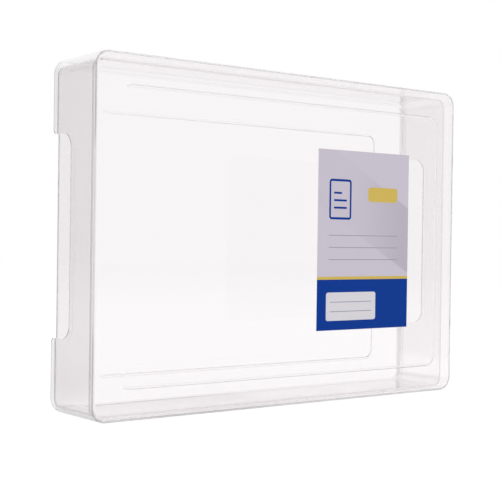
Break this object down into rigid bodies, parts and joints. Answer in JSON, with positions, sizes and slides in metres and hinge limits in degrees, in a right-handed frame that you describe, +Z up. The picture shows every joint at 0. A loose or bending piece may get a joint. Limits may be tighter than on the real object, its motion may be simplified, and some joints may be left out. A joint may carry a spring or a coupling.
{
  "type": "portable file box",
  "caption": "Clear plastic box for loose sheets, standing on its long edge: a cover with a finger notch in each short wall telescopes over an open tray.",
  "frame": {"origin": "middle of the box's outline on the surface that it stands on", "axes": "+X along the box's length, +Y from the cover's face to the tray's back, +Z up with the box standing on its long edge"},
  "size_m": [0.33, 0.058, 0.238],
  "materials": {
    "cover_plastic": "clear, faintly milky, glossy moulded plastic",
    "tray_plastic": "clear, faintly milky, glossy moulded plastic",
    "label_film": "printed self-adhesive film, satin"
  },
  "bodies": {
    "cover": {"cover": "cover_plastic", "label": "label_film"},
    "tray": {"tray": "tray_plastic"}
  },
  "joints": [
    {"name": "tray_slide", "type": "slide", "parent": "cover", "child": "tray", "axis": [0, 1, 0], "range_m": [-0.0072, 0.12]}
  ]
}
